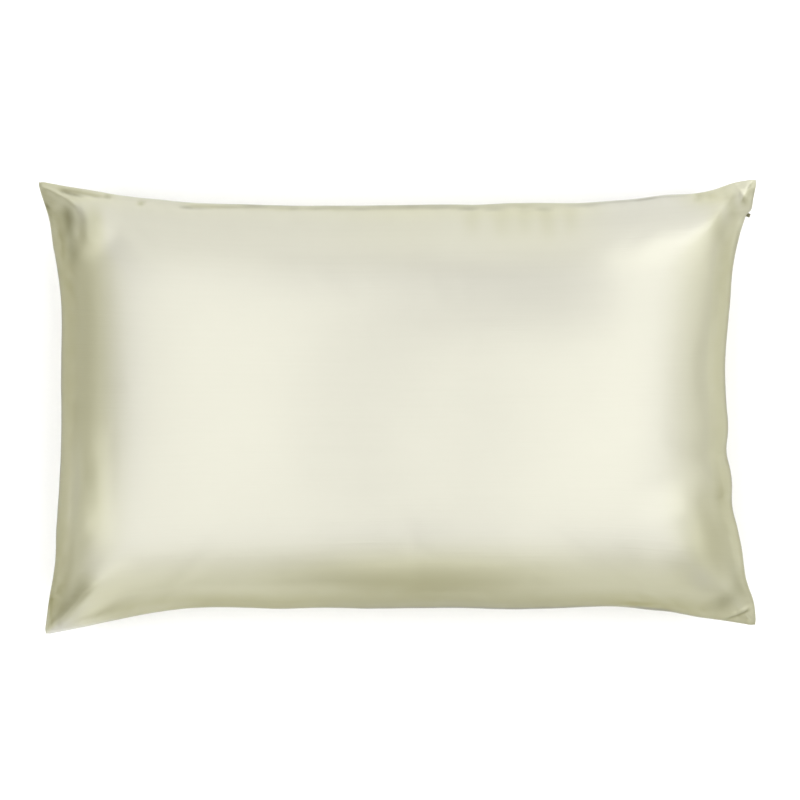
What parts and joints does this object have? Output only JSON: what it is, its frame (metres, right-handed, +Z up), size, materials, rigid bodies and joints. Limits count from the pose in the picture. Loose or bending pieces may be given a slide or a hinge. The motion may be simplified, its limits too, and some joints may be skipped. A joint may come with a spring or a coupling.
{
  "type": "pillow sham",
  "caption": "Plain satin pillow sham filled by its pillow, with a crowned face, drawn-in knife edges, thin corner ears and the end of a hidden zip.",
  "frame": {"origin": "under the middle of the whole pillow, on the surface that its back lies on", "axes": "+X along the pillow towards the zip end, +Y across it towards the edge beside the sewn end of the zip, +Z up out of the face"},
  "size_m": [0.7411, 0.4698, 0.1708],
  "materials": {
    "satin": "pale sage silk-like satin, smooth, with a broad soft sheen",
    "painted_zinc": "dark olive paint on a small die-cast slider"
  },
  "bodies": {
    "root": {"filled_case": "satin", "zip_slider": "painted_zinc"}
  },
  "joints": []
}
